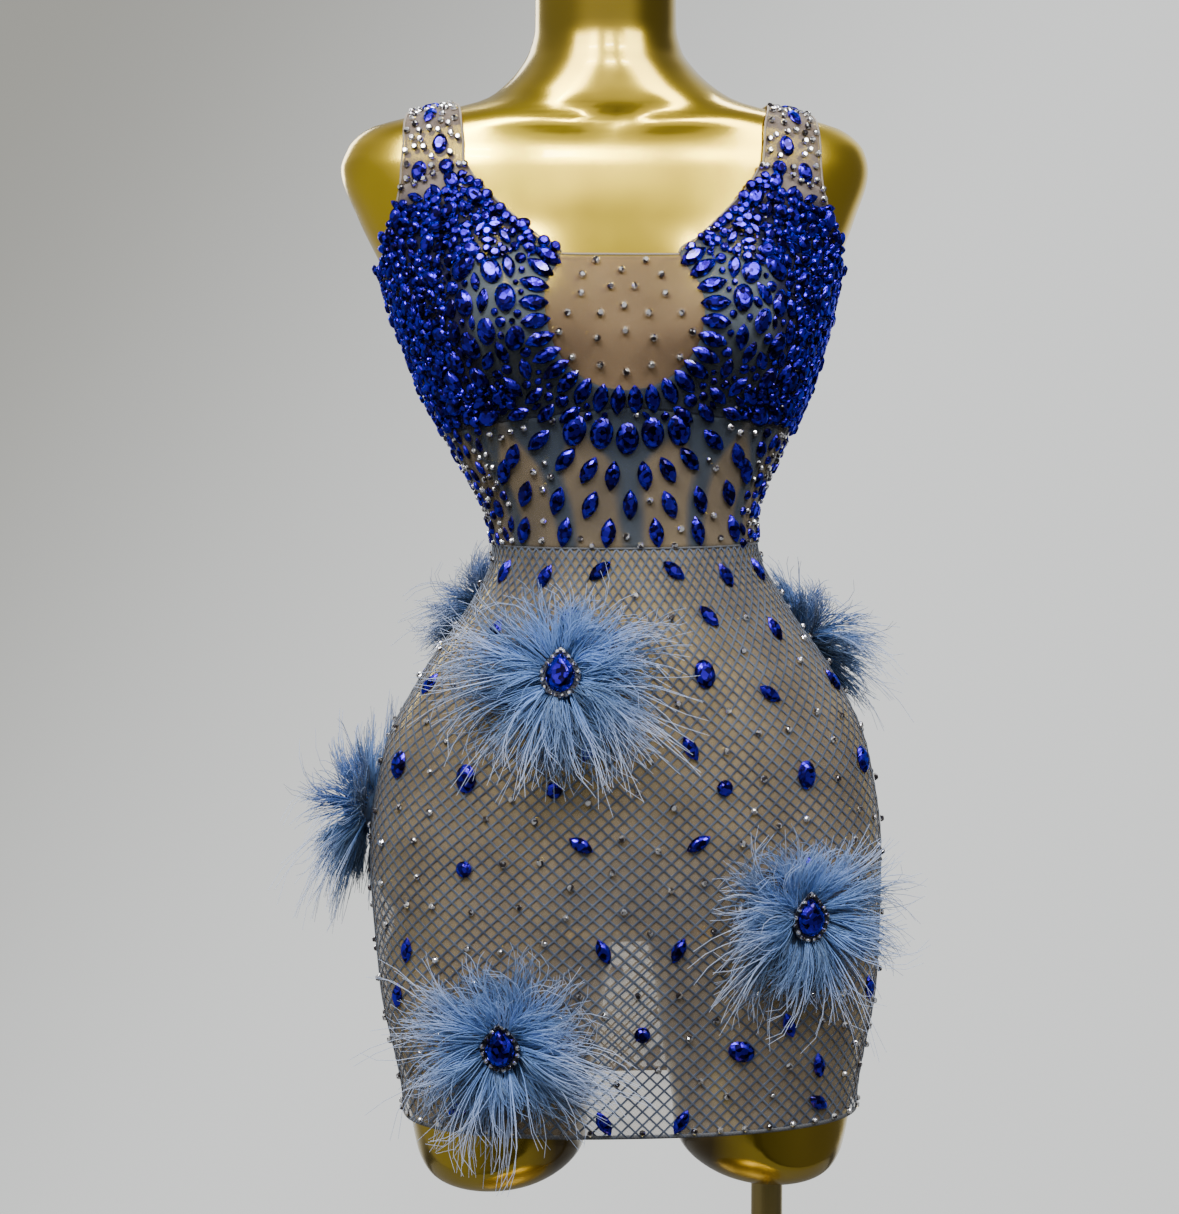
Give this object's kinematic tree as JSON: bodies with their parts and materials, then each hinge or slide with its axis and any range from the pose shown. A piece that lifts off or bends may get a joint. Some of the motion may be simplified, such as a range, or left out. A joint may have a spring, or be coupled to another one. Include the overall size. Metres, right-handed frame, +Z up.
{
  "type": "feather dress on a limbless display form",
  "caption": "Sleeveless short stage dress of nude net and fishnet with a jewelled bust and feather rosettes, on a gilt limbless form.",
  "frame": {"origin": "centre of the underside of the round base plate, on the floor", "axes": "+Z up, -Y out of the front of the dress, +X to the right of a viewer who faces the front"},
  "size_m": [0.4637, 0.34, 1.216],
  "materials": {
    "nude_net": "sheer nude stretch net",
    "fishnet": "sheer nude net under grey-blue diamond fishnet",
    "jewelled_net": "grey-blue net closely set with royal blue glass stones",
    "feather": "steel blue ostrich feather",
    "blue_stone": "faceted royal blue glass, foiled back",
    "gilt_form": "high gloss gold lacquer",
    "gilt_stand": "satin gold lacquer"
  },
  "bodies": {
    "root": {"skirt_front": "fishnet", "skirt_back": "fishnet", "midriff_front": "nude_net", "bodice_back": "nude_net", "centre_inset": "nude_net", "bust_panel_left": "jewelled_net", "bust_panel_right": "jewelled_net", "strap_left": "nude_net", "strap_right": "nude_net", "rosette_waist_front": "feather", "rosette_hem_right": "feather", "rosette_hem_left": "feather", "rosette_hip_left": "feather", "rosette_hip_right_back": "feather", "rosette_waist_left_back": "feather", "jewel_waist_front": "blue_stone", "jewel_hem_right": "blue_stone", "jewel_hem_left": "blue_stone", "jewel_hip_left": "blue_stone", "jewel_hip_right_back": "blue_stone", "jewel_waist_left_back": "blue_stone", "display_form": "gilt_form", "pole": "gilt_stand", "base_plate": "gilt_stand"}
  },
  "joints": []
}
